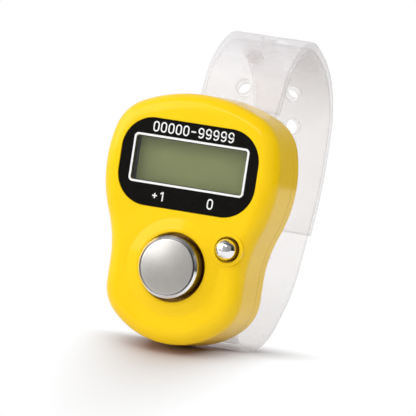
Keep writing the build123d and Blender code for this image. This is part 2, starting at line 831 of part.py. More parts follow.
# Bends that both layers have, from the lower back to the brow
doubled_radii = [
    back_low_radius,
    back_high_radius,
    shoulder_bend_radius,
    crown_radius,
    temple_radius,
    brow_radius,
]

with BuildPart() as finger_strap:
    with BuildSketch(Plane.YZ):
        with BuildLine() as strap_route:
            FilletPolyline(
                outer_tail,
                back_low,
                back_high,
                shoulder,
                crown,
                temple,
                brow,
                neck,
                exit_corner,
                foot_corner,
                sole_corner,
                inner_heel,
                inner_back_low,
                inner_back_high,
                inner_shoulder,
                inner_crown,
                inner_temple,
                inner_brow,
                inner_tail,
                radius=[
                    *doubled_radii,
                    neck_radius,
                    exit_radius,
                    strap_foot_radius,
                    sole_radius,
                    strap_heel_radius,
                    *[radius - layer_step for radius in doubled_radii],
                ],
            )
        trace(line_width=strap_thickness)
    extrude(amount=strap_width / 2, both=True)
    # Holes along the middle of the strap, stepped from the stud along the inner layer
    route = Plane.YZ.from_local_coords(strap_route.wire())
    run_start = (temple_radius - layer_step) * half_turn(crown, temple, brow)
    run_end = (brow_radius - layer_step) * half_turn(temple, brow, neck)
    stud_run = (inner_brow - inner_temple).normalized()
    stud_place = (inner_temple + stud_run * run_start + inner_brow - stud_run * run_end) / 2
    stud_distance = route.param_at_point(Plane.YZ.from_local_coords(stud_place)) * route.length
    hole_planes = [strap_plane(route, stud_distance - step * strap_hole_pitch) for step in strap_hole_steps]
    with BuildSketch(*hole_planes):
        Circle(strap_hole_radius)
    extrude(amount=layer_step + strap_thickness, both=True, mode=Mode.SUBTRACT)

# Stud through both layers: a flat base inside the loop and a domed head outside it
stud_plane = strap_plane(route, stud_distance)
with BuildPart() as strap_stud:
    with BuildSketch(Plane(stud_plane.origin, stud_plane.x_dir, -stud_plane.y_dir)):
        base_top = -strap_thickness / 2 - stud_seat_gap
        head_low = layer_step + strap_thickness / 2 + stud_seat_gap
        with BuildLine():
            head = TangentArc((0, head_low + stud_head_height), (stud_head_radius, head_low), tangent=(1, 0))
            Polyline(
                head @ 1,
                (strap_hole_radius - stud_clearance, head_low),
                (strap_hole_radius - stud_clearance, base_top),
                (stud_base_radius, base_top),
                (stud_base_radius, base_top - stud_base_height),
                (0, base_top - stud_base_height),
                head @ 0,
            )
        make_face()
    revolve(axis=Axis(stud_plane.origin, stud_plane.z_dir))

pieces = {
    "front_shell": front_shell,
    "back_shell": back_shell,
    "battery_door": battery_door,
    "door_screw": door_screw,
    "case_screws": case_screws,
    "display_lens": display_lens,
    "label_panel": label_panel,
    "lcd_panel": lcd_panel,
    "zebra_strip": zebra_strip,
    "circuit_board": circuit_board,
    "chip_blob": chip_blob,
    "chip_capacitor": chip_capacitor,
    "chip_resistors": chip_resistors,
    "count_button": count_button,
    "count_face": count_face,
    "count_dome": count_dome,
    "reset_button": reset_button,
    "reset_dome": reset_dome,
    "button_cell": button_cell,
    "contact_negative": contact_negative,
    "contact_positive": contact_positive,
    "finger_strap": finger_strap,
    "strap_stud": strap_stud,
}

os.makedirs("parts", exist_ok=True)
for name, piece in pieces.items():
    piece.part.label = name
    export_step(piece.part, f"parts/{name}.step")
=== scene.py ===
"""Looks of a finger tally counter: glossy yellow case, chrome buttons, black label and a clear strap.

Metres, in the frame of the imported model: the case faces -Y and +Z is up.
"""
import json
import math
from bisect import bisect

import bmesh
import bpy
from mathutils import Matrix, Vector
from mathutils.kdtree import KDTree


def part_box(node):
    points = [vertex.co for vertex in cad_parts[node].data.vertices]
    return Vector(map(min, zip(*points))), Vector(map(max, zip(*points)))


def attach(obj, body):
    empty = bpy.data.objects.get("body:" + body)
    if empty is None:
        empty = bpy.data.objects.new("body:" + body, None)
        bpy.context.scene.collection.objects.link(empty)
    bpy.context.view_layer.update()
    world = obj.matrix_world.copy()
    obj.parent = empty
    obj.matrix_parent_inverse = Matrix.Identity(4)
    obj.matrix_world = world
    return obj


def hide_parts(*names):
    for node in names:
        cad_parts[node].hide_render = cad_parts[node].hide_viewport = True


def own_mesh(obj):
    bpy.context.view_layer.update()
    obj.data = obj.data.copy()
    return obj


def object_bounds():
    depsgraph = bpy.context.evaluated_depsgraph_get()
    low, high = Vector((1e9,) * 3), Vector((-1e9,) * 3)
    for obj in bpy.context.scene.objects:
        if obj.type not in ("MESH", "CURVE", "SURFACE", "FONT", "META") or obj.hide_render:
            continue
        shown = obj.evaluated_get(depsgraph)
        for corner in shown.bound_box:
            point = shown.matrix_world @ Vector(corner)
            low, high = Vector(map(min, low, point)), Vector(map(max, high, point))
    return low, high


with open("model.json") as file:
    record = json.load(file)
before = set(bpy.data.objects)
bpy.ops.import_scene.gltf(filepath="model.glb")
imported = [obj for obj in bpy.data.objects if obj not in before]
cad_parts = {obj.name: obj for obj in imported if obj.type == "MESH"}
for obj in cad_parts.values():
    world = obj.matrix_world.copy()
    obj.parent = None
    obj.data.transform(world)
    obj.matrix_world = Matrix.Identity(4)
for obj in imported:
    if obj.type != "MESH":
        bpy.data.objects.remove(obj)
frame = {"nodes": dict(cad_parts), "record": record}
nodes = frame["nodes"]
cad_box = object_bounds()

MM = 0.001

# Camera, as it stood for the photograph
VIEW_YAW = math.radians(20.4)
VIEW_ELEVATION = math.radians(1.0)
VIEW_ROLL = math.radians(8.776)
VIEW_DISTANCE = 900 * MM
VIEW_LENS = 458.05
VIEW_SENSOR = 36.0
VIEW_TARGET_X = -3.364 * MM
VIEW_TARGET_DEPTH = 21.425 * MM
VIEW_TARGET_Z = 23.145 * MM
VIEW_NEAREST = 50 * MM
VIEW_FARTHEST = 10

# Print on the label
LABEL_SINK = 0.2 * MM
PRINT_THICKNESS = 0.02 * MM
PRINT_BLACK = (0.004, 0.0036, 0.003)
LINE_WIDTH = 0.36 * MM
LINE_CORNER = 0.4 * MM
CORNER_STEPS = 8
COUNT_RANGE = "00000-99999"
COUNT_MARK = "+1"
RESET_MARK = "0"
COUNT_MARK_X = -4.5 * MM
RESET_MARK_X = 4.75 * MM

# Printed signs, with shares of a sign's width and height
SIGN_HEIGHT = 1.55 * MM
SIGN_WIDTH = 0.84 * MM
SIGN_PITCH = 1.34 * MM
SIGN_STROKE = 0.23 * MM
SIGN_MIDDLE_SHARE = 0.5
BOW_STEPS = 20
BOW_WIDTH_SHARE = 0.5
BOW_HEIGHT_SHARE = 0.3
UPPER_BOW_SHARE = 0.7
LOWER_BOW_SHARE = 0.3
NINE_TAIL_DEGREES = -150
STEM_SHARE = 0.6
FLAG_FOOT_SHARES = (0.1, 0.75)
FLAG_TOP_SHARE = 0.96
PLUS_SHARES = (0.23, 0.77)

# Black sleeve in the window
SLEEVE_GAP = 0.02 * MM
SLEEVE_WALL = 0.08 * MM
WINDOW_CORNER = 0.5 * MM
WINDOW_SEARCH_SHARE = 0.42

# Face of the count button
FACE_CROWN = 0.365 * MM
FACE_GROOVE = 0.16 * MM
FACE_EDGE = 0.06 * MM

# Sprung domes under the buttons
DOME_THICKNESS = 0.15 * MM

# Turned pieces
CAP_STEPS = 24
LATHE_STEPS = 128
SHARP_ANGLE = math.radians(40)

# Painted shade on the buttons, brown like the yellow hole walls they mirror, from the collars' rims inward
# and round the count button's face
PAINTED_SHADE_DEPTH = 0.5 * MM
GROOVE_PAINTED_SHADE = 0.14 * MM

# Strap
STRAP_EDGE_RADIUS = 0.3 * MM
STRAP_EDGE_STEPS = 4
STRAP_HOLE_RADIUS = 1.35 * MM
STRAP_RIM_RADIUS = 0.15 * MM
STRAP_RIM_STEPS = 3
STRAP_PATCH_REACH = 2.2 * MM
STRAP_ACROSS_STEPS = 8
STRAP_STEP = 0.6 * MM
ROUTE_STEP = 0.2 * MM
ROUTE_SMOOTHING_TURNS = 12
TAIL_ANGLE = math.radians(60)
HOLE_GAP = 1.5 * MM
WELD = 0.001 * MM

# Floor, which shows in an oval round the part with a painted shadow near it, and is plain white outside it
FLOOR_HALF_WIDTH = 1.2
FLOOR_LENGTH = 1.2
FLOOR_BEND_Y = -10 * MM
FLOOR_BEND_RADIUS = 40 * MM
FLOOR_SLOPE = math.radians(22)
FLOOR_BEND_STEPS = 16
FLOOR_MIDDLE_Y = -8 * MM
FLOOR_REACH = (17 * MM, 46 * MM, 1)
FLOOR_FADE_SHARE = 0.3
FLOOR_COLOR = (0.77, 0.765, 0.765)
FLOOR_SHADE = (0.29, 0.205, 0.215)
FLOOR_SHADE_REACH = 30 * MM

# Light that comes from all round
WHITE = (1, 1, 1)
FILL_LEVEL = 0.62

# What mirrors see: greys, by how far a direction has turned from the bright side to the dark one
MIRROR_DARK_SIDE = (0.95, -0.3, 0)
MIRROR_LEVELS = ((0.1, 1.0), (0.35, 0.45), (0.5, 0.22), (0.8, 0.12), (0.95, 0.01))

# See-through surfaces that a ray may pass: both layers of the strap, the stud and the band behind them
CLEAR_SURFACES = 32

front_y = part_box("label_panel")[0].y - LABEL_SINK


class Shading:
    """A tree of shader nodes."""

    def __init__(self, tree):
        self.tree = tree
        self.tree.nodes.clear()

    def node(self, kind):
        return self.tree.nodes.new("ShaderNode" + kind)

    def link(self, source, target):
        self.tree.links.new(source, target)

    def link_all(self, sources, node):
        """Sources, linked to a node's first sockets in order."""
        for source, target in zip(sources, node.inputs):
            self.link(source, target)

    def rays(self, kind):
        """One for a kind of ray, and zero for the others."""
        return self.node("LightPath").outputs[kind]

    def mixed(self, factor, first, second):
        """Two shaders, mixed by a factor."""
        mix = self.node("MixShader")
        self.link_all((factor, first, second), mix)
        return mix.outputs["Shader"]

    def calculated(self, operation, first, second):
        """A number worked out from two others."""
        result = self.node("Math")
        result.operation = operation
        self.link_all((first, second), result)
        return result.outputs["Value"]

    def vector(self, operation, source, fixed=(0, 0, 0)):
        """A vector, or a number for it, worked out from a vector and a fixed one."""
        result = self.node("VectorMath")
        result.operation = operation
        result.inputs[1].default_value = fixed
        self.link_all((source,), result)
        return result.outputs["Value" if operation in ("LENGTH", "DOT_PRODUCT") else "Vector"]

    def separate(self, source):
        """The X, Y and Z of a vector."""
        parts = self.node("SeparateXYZ")
        self.link_all((source,), parts)
        return parts.outputs

    def spread(self, source, low, high, start=0.3, stop=0.7):
        """A number that runs from low to high while its source runs from start to stop."""
        spread = self.node("MapRange")
        spread.inputs["From Min"].default_value = start
        spread.inputs["From Max"].default_value = stop
        spread.inputs["To Min"].default_value = low
        spread.inputs["To Max"].default_value = high
        self.link(source, spread.inputs["Value"])
        return spread.outputs["Result"]

    def ramp(self, source, levels):
        """A colour that follows its source, from at least two positions with their colours."""
        ramp = self.node("ValToRGB")
        elements = ramp.color_ramp.elements
        while len(elements) < len(levels):
            elements.new(levels[len(elements)][0])
        for element, (position, color) in zip(elements, levels):
            element.position = position
            element.color = (*color, 1)
        self.link(source, ramp.inputs["Fac"])
        return ramp.outputs["Color"]


class Look(Shading):
    """A node material round one Principled shader, with plain values that textures can vary."""

    def __init__(self, name, color, roughness, metallic=0.0):
        self.material = bpy.data.materials.new(name)
        self.material.use_nodes = True
        super().__init__(self.material.node_tree)
        self.output = self.node("OutputMaterial")
        self.shader = self.node("BsdfPrincipled")
        self.bsdf = self.shader.outputs["BSDF"]
        self.surface(self.bsdf)
        self.set("Base Color", (*color, 1))
        self.set("Roughness", roughness)
        self.set("Metallic", metallic)

    def set(self, socket, value):
        self.shader.inputs[socket].default_value = value

    def surface(self, source):
        self.link(source, self.output.inputs["Surface"])

    def clear(self, tint):
        """A see-through shader."""
        shader = self.node("BsdfTransparent")
        shader.inputs["Color"].default_value = (*tint, 1)
        return shader.outputs["BSDF"]

    def facing(self, blend):
        """Zero where the surface is seen square on, rising to one where it is seen along itself."""
        slant = self.node("LayerWeight")
        slant.inputs["Blend"].default_value = blend
        return slant.outputs["Facing"]

    def place(self):
        """Where a point lies, in its object's own frame."""
        return self.node("TexCoord").outputs["Object"]

    def beyond(self, low, high):
        """One outside a rectangle in X and Z, and zero inside it."""
        from_middle = self.vector("SUBTRACT", self.place(), (low + high) / 2)
        shares = self.vector("DIVIDE", from_middle, (high - low) / 2)
        sizes = self.separate(self.vector("ABSOLUTE", shares))
        limit = self.node("Math")
        limit.operation = "GREATER_THAN"
        limit.inputs[1].default_value = 1
        self.link_all((self.calculated("MAXIMUM", sizes["X"], sizes["Z"]),), limit)
        return limit.outputs["Value"]

    def noise(self, size, detail, stretch=(1, 1, 1)):
        """Noise with features of about a size."""
        mapping = self.node("Mapping")
        mapping.inputs["Scale"].default_value = stretch
        texture = self.node("TexNoise")
        texture.inputs["Scale"].default_value = 1 / size
        texture.inputs["Detail"].default_value = detail
        self.link(self.place(), mapping.inputs["Vector"])
        self.link(mapping.outputs["Vector"], texture.inputs["Vector"])
        return texture.outputs["Fac"]

    def vary(self, socket, source, low, high):
        """A socket that runs from low to high with its source."""
        self.link(self.spread(source, low, high), self.shader.inputs[socket])

    def vary_color(self, source, low, high, start=0.35, stop=0.65):
        """A base colour that runs from low to high with its source."""
        self.link(self.ramp(source, ((start, low), (stop, high))), self.shader.inputs["Base Color"])

    def tint(self, factor, color):
        """The varied base colour, turned to another by a factor."""
        mix = self.node("Mix")
        mix.data_type = "RGBA"
        sockets = {socket.identifier: socket for socket in (*mix.inputs, *mix.outputs)}
        base = self.shader.inputs["Base Color"]
        self.link(factor, sockets["Factor_Float"])
        self.link(base.links[0].from_socket, sockets["A_Color"])
        sockets["B_Color"].default_value = (*color, 1)
        self.link(sockets["Result_Color"], base)

    def bump(self, source, strength, depth):
        """Fine relief from a texture."""
        relief = self.node("Bump")
        relief.inputs["Strength"].default_value = strength
        relief.inputs["Distance"].default_value = depth
        self.link(source, relief.inputs["Height"])
        self.link(relief.outputs["Normal"], self.shader.inputs["Normal"])


def yellow_plastic():
    """Glossy moulded plastic with a faint orange peel."""
    look = Look("yellow_plastic", color=(0.93, 0.6, 0.005), roughness=0.2)
    look.set("Specular IOR Level", 0.18)
    look.set("Coat Weight", 0.1)
    look.set("Coat Roughness", 0.06)
    look.vary_color(look.noise(6 * MM, detail=3), low=(0.92, 0.585, 0.002), high=(0.94, 0.61, 0.004))
    look.vary("Roughness", look.noise(1.5 * MM, detail=4), low=0.12, high=0.19)
    look.bump(look.noise(0.5 * MM, detail=2), strength=0.05, depth=0.01 * MM)
    return look.material


def black_print():
    """Black ink on a sheet."""
    look = Look("black_print", color=PRINT_BLACK, roughness=0.35)
    look.set("Specular IOR Level", 0.06)
    mottle = look.noise(0.4 * MM, detail=3)
    look.vary_color(mottle, low=(0.0035, 0.003, 0.0025), high=(0.006, 0.0055, 0.0045))
    look.vary("Roughness", look.noise(0.3 * MM, detail=3), low=0.3, high=0.42)
    look.bump(look.noise(0.15 * MM, detail=2), strength=0.05, depth=0.005 * MM)
    return look.material


def white_print():
    """White ink, slightly uneven."""
    look = Look("white_print", color=(0.85, 0.85, 0.84), roughness=0.4)
    look.vary_color(look.noise(0.3 * MM, detail=2), low=(0.8, 0.8, 0.79), high=(0.88, 0.88, 0.87))
    look.vary("Roughness", look.noise(0.2 * MM, detail=2), low=0.35, high=0.45)
    return look.material


def lens_sheet():
    """Clear sheet over the display: black outside the window, and mirroring most at a slant."""
    look = Look("lens_sheet", color=WHITE, roughness=0.04, metallic=1.0)
    look.vary("Roughness", look.noise(3 * MM, detail=3), low=0.03, high=0.06)
    border = look.beyond(*window_box())
    look.vary_color(border, low=WHITE, high=PRINT_BLACK)
    look.vary("Metallic", border, low=1, high=0)
    mirror = look.spread(look.facing(blend=0.2), low=0.02, high=0.5, start=0, stop=1)
    cover = look.calculated("MAXIMUM", mirror, border)
    look.surface(look.mixed(cover, look.clear(tint=(0.98, 0.98, 0.98)), look.bsdf))
    return look.material


def display_glass():
    """Grey-green display with no digit lit."""
    look = Look("display_glass", color=(0.25, 0.285, 0.105), roughness=0.4)
    look.set("Specular IOR Level", 0.25)
    look.vary_color(look.noise(5 * MM, detail=3), low=(0.243, 0.278, 0.102), high=(0.257, 0.292, 0.108))
    look.vary("Roughness", look.noise(2 * MM, detail=3), low=0.3, high=0.4)
    return look.material


def bright_chrome(name, roughness):
    """Bright plating with faint haze, and painted shade, brown like the yellow hole walls it mirrors, where
    it sits in the case's holes.
    """
    look = Look(name, color=(0.86, 0.86, 0.87), roughness=roughness, metallic=1.0)
    collar_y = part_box("front_shell")[0].y
    place_y = look.separate(look.place())["Y"]
    # Painted shade: the base colour turns dark brown deeper in the hole, standing in for the shaded yellow
    # wall that the plating mirrors there
    depth = look.spread(place_y, low=0, high=1, start=collar_y, stop=collar_y + PAINTED_SHADE_DEPTH)
    look.vary_color(depth, low=(0.87, 0.87, 0.88), high=(0.3, 0.16, 0.03), start=0.1, stop=0.9)
    look.vary("Roughness", look.noise(0.6 * MM, detail=3), low=0.7 * roughness, high=1.4 * roughness)
    return look.material


def satin_chrome():
    """Fine blasted plating, with painted shade darkening the groove at its rim."""
    look = Look("satin_chrome", color=(0.66, 0.635, 0.605), roughness=0.3, metallic=1.0)
    look.vary_color(look.noise(1.2 * MM, detail=3), low=(0.645, 0.62, 0.59), high=(0.675, 0.65, 0.62))
    look.vary("Roughness", look.noise(0.6 * MM, detail=3), low=0.28, high=0.33)
    low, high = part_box("count_face")
    from_middle = look.vector("SUBTRACT", look.place(), (low + high) / 2)
    reach = look.vector("LENGTH", look.vector("MULTIPLY", from_middle, (1, 0, 1)))
    rim = (high.x - low.x) / 2 - FACE_GROOVE
    # Painted shade: the colour turns near black across the groove round the face's rim
    groove_shade = look.spread(reach, low=0, high=1, start=rim - GROOVE_PAINTED_SHADE, stop=rim)
    look.tint(groove_shade, color=(0.02, 0.018, 0.015))
    return look.material


def rolled_metal(name, color, roughness):
    """Sheet, screw and cell metal with a fine grain."""
    look = Look(name, color, roughness, metallic=1.0)
    look.vary_color(look.noise(0.7 * MM, detail=3), low=tuple(0.88 * part for part in color), high=color)
    grain = look.noise(0.25 * MM, detail=3, stretch=(1, 1, 6))
    look.vary("Roughness", grain, low=0.8 * roughness, high=1.3 * roughness)
    look.bump(look.noise(0.08 * MM, detail=2, stretch=(1, 1, 8)), strength=0.1, depth=0.005 * MM)
    return look.material


def moulded(name, low, high, roughness, grain):
    """Plain resin, laminate, ceramic or rubber with its grain."""
    look = Look(name, high, roughness)
    look.vary_color(look.noise(grain, detail=3), low, high)
    rough_grain = look.noise(grain / 2, detail=3)
    look.vary("Roughness", rough_grain, low=0.85 * roughness, high=min(1, 1.2 * roughness))
    look.bump(look.noise(grain / 4, detail=2), strength=0.15, depth=grain / 40)
    return look.material


def clear_vinyl(name, milk, edge_milk):
    """Soft clear vinyl: slightly milky, and more so where it is seen along its surface."""
    look = Look(name, color=(0.763, 0.747, 0.755), roughness=0.2)
    look.set("Specular IOR Level", 0.3)
    look.vary_color(look.noise(5 * MM, detail=3), low=(0.738, 0.722, 0.73), high=(0.788, 0.772, 0.78))
    look.vary("Roughness", look.noise(4 * MM, detail=3), low=0.16, high=0.26)
    look.bump(look.noise(6 * MM, detail=2), strength=0.05, depth=0.05 * MM)
    share = look.spread(look.facing(blend=0.3), low=milk, high=edge_milk, start=0, stop=1)
    milky = look.mixed(share, look.clear(tint=(0.995, 0.992, 0.993)), look.bsdf)
    shadow = look.clear(tint=(0.96, 0.955, 0.95))
    look.surface(look.mixed(look.rays("Is Shadow Ray"), milky, shadow))
    return look.material


def link_object(name, data):
    """A new object in the scene."""
    piece = bpy.data.objects.new(name, data)
    bpy.context.scene.collection.objects.link(piece)
    return piece


def mesh_from(name, bm, material):
    """A mesh from a bmesh, with its material."""
    bmesh.ops.recalc_face_normals(bm, faces=bm.faces)
    mesh = bpy.data.meshes.new(name)
    bm.to_mesh(mesh)
    bm.free()
    mesh.materials.append(material)
    return mesh


def mesh_piece(name, bm, body, material):
    """A new piece from a bmesh that rides on a body."""
    piece = link_object(name, mesh_from(name, bm, material))
    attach(piece, body)
    return piece


def bridge(bm, first, second):
    """Faces between two rings of as many vertices."""
    count = len(first)
    for i in range(count):
        j = (i + 1) % count
        bm.faces.new((first[i], first[j], second[j], second[i]))


def rounded_ring(bm, half_width, half_height, radius, y, middle):
    """A rounded rectangle that faces -Y, as a ring of vertices round a middle."""
    ring = []
    for quarter in range(4):
        side_x = 1 if quarter in (0, 3) else -1
        side_z = 1 if quarter in (0, 1) else -1
        for step in range(CORNER_STEPS + 1):
            angle = (quarter + step / CORNER_STEPS) * math.pi / 2
            x = side_x * (half_width - radius) + radius * math.cos(angle)
            z = side_z * (half_height - radius) + radius * math.sin(angle)
            ring.append(bm.verts.new((middle.x + x, y, middle.z + z)))
    return ring


def window_box():
    """Lowest and highest corner of the window in the label, from the label's own mesh."""
    low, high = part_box("label_panel")
    middle = (low + high) / 2
    reach = (high - low) * WINDOW_SEARCH_SHARE
    inside = [
        vertex.co
        for vertex in nodes["label_panel"].data.vertices
        if abs(vertex.co.x - middle.x) < reach.x and abs(vertex.co.z - middle.z) < reach.z
    ]
    return (
        Vector(min(place[i] for place in inside) for i in range(3)),
        Vector(max(place[i] for place in inside) for i in range(3)),
    )


def window_frame(name, front, back, inner, outer, corner, material):
    """A frame round the window between two depths, its walls at distances from the window's edge."""
    low, high = window_box()
    middle = (low + high) / 2
    half = (high - low) / 2
    bm = bmesh.new()
    rings = [
        rounded_ring(bm, half.x + grow, half.z + grow, corner + grow, y, middle)
        for y, grow in ((front, inner), (front, outer), (back, outer), (back, inner))
    ]
    for first, second in zip(rings, rings[1:] + rings[:1]):
        bridge(bm, first, second)
    mesh_piece(name, bm, "case", material)


def window_line(material):
    """The white line printed round the window."""
    back = front_y + LABEL_SINK
    window_frame("window_line", back - PRINT_THICKNESS, back, 0, LINE_WIDTH, LINE_CORNER, material)


def window_sleeve(material):
    """The black sleeve that lines the window between the lens and the display."""
    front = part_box("display_lens")[1].y + SLEEVE_GAP
    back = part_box("lcd_panel")[0].y - SLEEVE_GAP
    inner = -SLEEVE_GAP - SLEEVE_WALL
    window_frame("window_sleeve", front, back, inner, -SLEEVE_GAP, WINDOW_CORNER, material)


def bow(middle_share, start, stop):
    """Points along an elliptical arc as wide as a sign, between two angles in degrees."""
    angles = [math.radians(start + (stop - start) * step / BOW_STEPS) for step in range(BOW_STEPS + 1)]
    return [
        (SIGN_MIDDLE_SHARE + BOW_WIDTH_SHARE * math.cos(a), middle_share + BOW_HEIGHT_SHARE * math.sin(a))
        for a in angles
    ]


def sign_strokes(sign):
    """The strokes of a sign in shares of its width and height, each with whether it closes."""
    half = SIGN_STROKE / SIGN_HEIGHT / 2
    middle = SIGN_MIDDLE_SHARE
    bar = ([(0, middle), (1, middle)], False)
    if sign == "0":
        return [(bow(UPPER_BOW_SHARE, 0, 180) + bow(LOWER_BOW_SHARE, 180, 360), True)]
    if sign == "9":
        return [(bow(UPPER_BOW_SHARE, 0, 360) + bow(LOWER_BOW_SHARE, 0, NINE_TAIL_DEGREES), False)]
    if sign == "1":
        flag = [FLAG_FOOT_SHARES, (STEM_SHARE - half, FLAG_TOP_SHARE)]
        return [([(STEM_SHARE, 0), (STEM_SHARE, 1)], False), (flag, False)]
    if sign == "+":
        low, high = PLUS_SHARES
        return [
            bar,
            ([(middle, low), (middle, middle - half)], False),
            ([(middle, middle + half), (middle, high)], False),
        ]
    return [bar]


def ribbon(bm, points, closed, front, back):
    """A flat stroke along points in X and Z, between two depths."""
    rows = []
    for i, point in enumerate(points):
        before = points[i - 1] if closed or i else point
        after = points[(i + 1) % len(points)] if closed or i + 1 < len(points) else point
        along = (after - before).normalized()
        side = Vector((-along.y, along.x)) * SIGN_STROKE / 2
        edges = (point + side, point - side)
        rows.append([
            bm.verts.new((edge.x, y, edge.y))
            for edge, y in ((edges[0], front), (edges[1], front), (edges[1], back), (edges[0], back))
        ])
    for first, second in zip(rows, rows[1:]):
        bridge(bm, first, second)
    if closed:
        bridge(bm, rows[-1], rows[0])
    else:
        bm.faces.new(rows[0])
        bm.faces.new(rows[-1])


def printed_signs(name, signs, x, z, material):
    """White digits and signs on the label, centred on a place."""
    back = front_y + LABEL_SINK
    start_x = x - SIGN_PITCH * (len(signs) - 1) / 2 - SIGN_WIDTH / 2
    start_z = z - SIGN_HEIGHT / 2
    bm = bmesh.new()
    for i, sign in enumerate(signs):
        for points, closed in sign_strokes(sign):
            places = [
                Vector((start_x + i * SIGN_PITCH + across * SIGN_WIDTH, start_z + up * SIGN_HEIGHT))
                for across, up in points
            ]
            ribbon(bm, places, closed, back - PRINT_THICKNESS, back)
    mesh_piece(name, bm, "case", material)


def label_print(material):
    """The print in the bands above and below the window: the range it counts and a mark for each button."""
    window_low, window_high = window_box()
    label_low, label_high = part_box("label_panel")
    upper_z = (window_high.z + LINE_WIDTH + label_high.z) / 2
    lower_z = (window_low.z - LINE_WIDTH + label_low.z) / 2
    printed_signs("count_range", COUNT_RANGE, 0, upper_z, material)
    printed_signs("count_mark", COUNT_MARK, COUNT_MARK_X, lower_z, material)
    printed_signs("reset_mark", RESET_MARK, RESET_MARK_X, lower_z, material)


def cap_profile(radius, height, tip_y):
    """Radii and depths over a round cap, from its tip to its rim."""
    sphere = (radius**2 + height**2) / (2 * height)
    spread = math.asin(radius / sphere)
    angles = [spread * step / CAP_STEPS for step in range(CAP_STEPS + 1)]
    return [(sphere * math.sin(a), tip_y + sphere * (1 - math.cos(a))) for a in angles]


def turned_piece(name, profile, middle, body, material):
    """A closed piece turned about a line along Y, from a profile that starts and ends on that line."""
    turns = [2 * math.pi * step / LATHE_STEPS for step in range(LATHE_STEPS)]
    bm = bmesh.new()
    rings = [
        [bm.verts.new((middle.x + r * math.cos(t), y, middle.z + r * math.sin(t))) for t in turns]
        for r, y in profile[1:-1]
    ]
    for ring, onward in zip(rings, rings[1:]):
        bridge(bm, ring, onward)
    for (_, tip_y), ring in ((profile[0], rings[0]), (profile[-1], rings[-1])):
        tip = bm.verts.new((middle.x, tip_y, middle.z))
        for i, vertex in enumerate(ring):
            bm.faces.new((tip, ring[i - 1], vertex))
    piece = mesh_piece(name, bm, body, material)
    piece.data.shade_smooth()
    piece.data.set_sharp_from_angle(angle=SHARP_ANGLE)
    return piece


def satin_face(material):
    """The domed disc in the count button, with a fine groove round it."""
    low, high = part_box("count_face")
    radius = (high.x - low.x) / 2 - FACE_GROOVE
    profile = cap_profile(radius - FACE_EDGE, FACE_CROWN, low.y)
    profile += [(radius, profile[-1][1] + FACE_EDGE), (radius, high.y), (0, high.y)]
    piece = turned_piece("satin_face", profile, (low + high) / 2, "count", material)
    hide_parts("count_face")


def sprung_dome(name, node, material):
    """A sprung dome on the board, under the stem of its button."""
    low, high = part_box(node)
    middle = (low + high) / 2
    radius = (high.x - low.x) / 2
    height = high.y - low.y
    outside = cap_profile(radius, height, low.y)
    inside = cap_profile(radius - DOME_THICKNESS, height - DOME_THICKNESS, low.y + DOME_THICKNESS)
    piece = turned_piece(name, outside + inside[::-1], middle, "case", material)
    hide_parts(node)
    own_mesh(piece)


class Route:
    """A line in Y and Z that is asked for places along it and beside it."""

    def __init__(self, places):
        self.places = places
        self.reach = [0.0]
        for before, after in zip(places, places[1:]):
            self.reach.append(self.reach[-1] + (after - before).length)
        self.length = self.reach[-1]

    def slope(self, i):
        """The direction of the line at one of its places."""
        last = len(self.places) - 1
        return (self.places[min(i + 1, last)] - self.places[max(i - 1, 0)]).normalized()

    def at(self, distance, out):
        """The place at a distance along the line and a distance out to its left."""
        i = min(max(bisect(self.reach, distance) - 1, 0), len(self.places) - 2)
        share = (distance - self.reach[i]) / (self.reach[i + 1] - self.reach[i])
        along = self.slope(i).lerp(self.slope(i + 1), share).normalized()
        return self.places[i].lerp(self.places[i + 1], share) + Vector((-along.y, along.x)) * out

    def even(self, step):
        """The same line with places a step apart."""
        count = round(self.length / step)
        return Route([self.at(self.length * i / count, 0) for i in range(count + 1)])

    def smooth(self, turns):
        """The same line with its bends eased."""
        places = self.places
        for _ in range(turns):
            eased = [(a + 2 * b + c) / 4 for a, b, c in zip(places, places[1:], places[2:])]
            places = [places[0], *eased, places[-1]]
        return Route(places)


def flank_loop(bm):
    """The outline of the strap's right flank in Y and Z, with the strap on its left."""
    edge_x = max(vertex.co.x for vertex in bm.verts)
    flank = {face for face in bm.faces if all(edge_x - vertex.co.x < WELD for vertex in face.verts)}
    border = [edge for edge in bm.edges if sum(face in flank for face in edge.link_faces) == 1]
    beside = {}
    for edge in border:
        for vertex in edge.verts:
            beside.setdefault(vertex, []).append(edge.other_vert(vertex))
    loop = list(border[0].verts)
    while loop[-1] != loop[0]:
        first, second = beside[loop[-1]]
        loop.append(second if first == loop[-2] else first)
    places = [Vector((vertex.co.y, vertex.co.z)) for vertex in loop[1:]]
    area = sum(a.x * b.y - a.y * b.x for a, b in zip(places, places[1:] + places[:1]))
    return places if area > 0 else places[::-1]


def middle_line(loop):
    """The line midway between the long sides of the strap's flank, and the strap's thickness."""
    count = len(loop)
    corners = [
        i for i in range(count)
        if (loop[i] - loop[i - 1]).angle(loop[(i + 1) % count] - loop[i]) > TAIL_ANGLE
    ]
    sides = [
        Route([loop[i % count] for i in range(first, last + 1)])
        for first, last in zip(corners, corners[1:] + [corners[0] + count])
    ]
    thickness = min(side.length for side in sides)
    side = max(sides, key=lambda route: route.length)
    middle = Route([side.at(distance, thickness / 2) for distance in side.reach])
    return middle.even(ROUTE_STEP).smooth(ROUTE_SMOOTHING_TURNS), thickness


def hole_distances(bm, middle):
    """How far along the strap's middle line its holes lie, apart from those too close to its ends."""
    tree = KDTree(len(middle.places))
    for i, place in enumerate(middle.places):
        tree.insert((0, *place), i)
    tree.balance()
    inner = [vertex.co for vertex in bm.verts if abs(vertex.co.x) < 2 * STRAP_HOLE_RADIUS]
    found = sorted(middle.reach[tree.find((0, co.y, co.z))[1]] for co in inner)
    groups = [[found[0]]]
    for distance in found[1:]:
        if distance - groups[-1][-1] > HOLE_GAP:
            groups.append([])
        groups[-1].append(distance)
    holes = [(group[0] + group[-1]) / 2 for group in groups]
    return [hole for hole in holes if STRAP_PATCH_REACH < hole < middle.length - STRAP_PATCH_REACH]


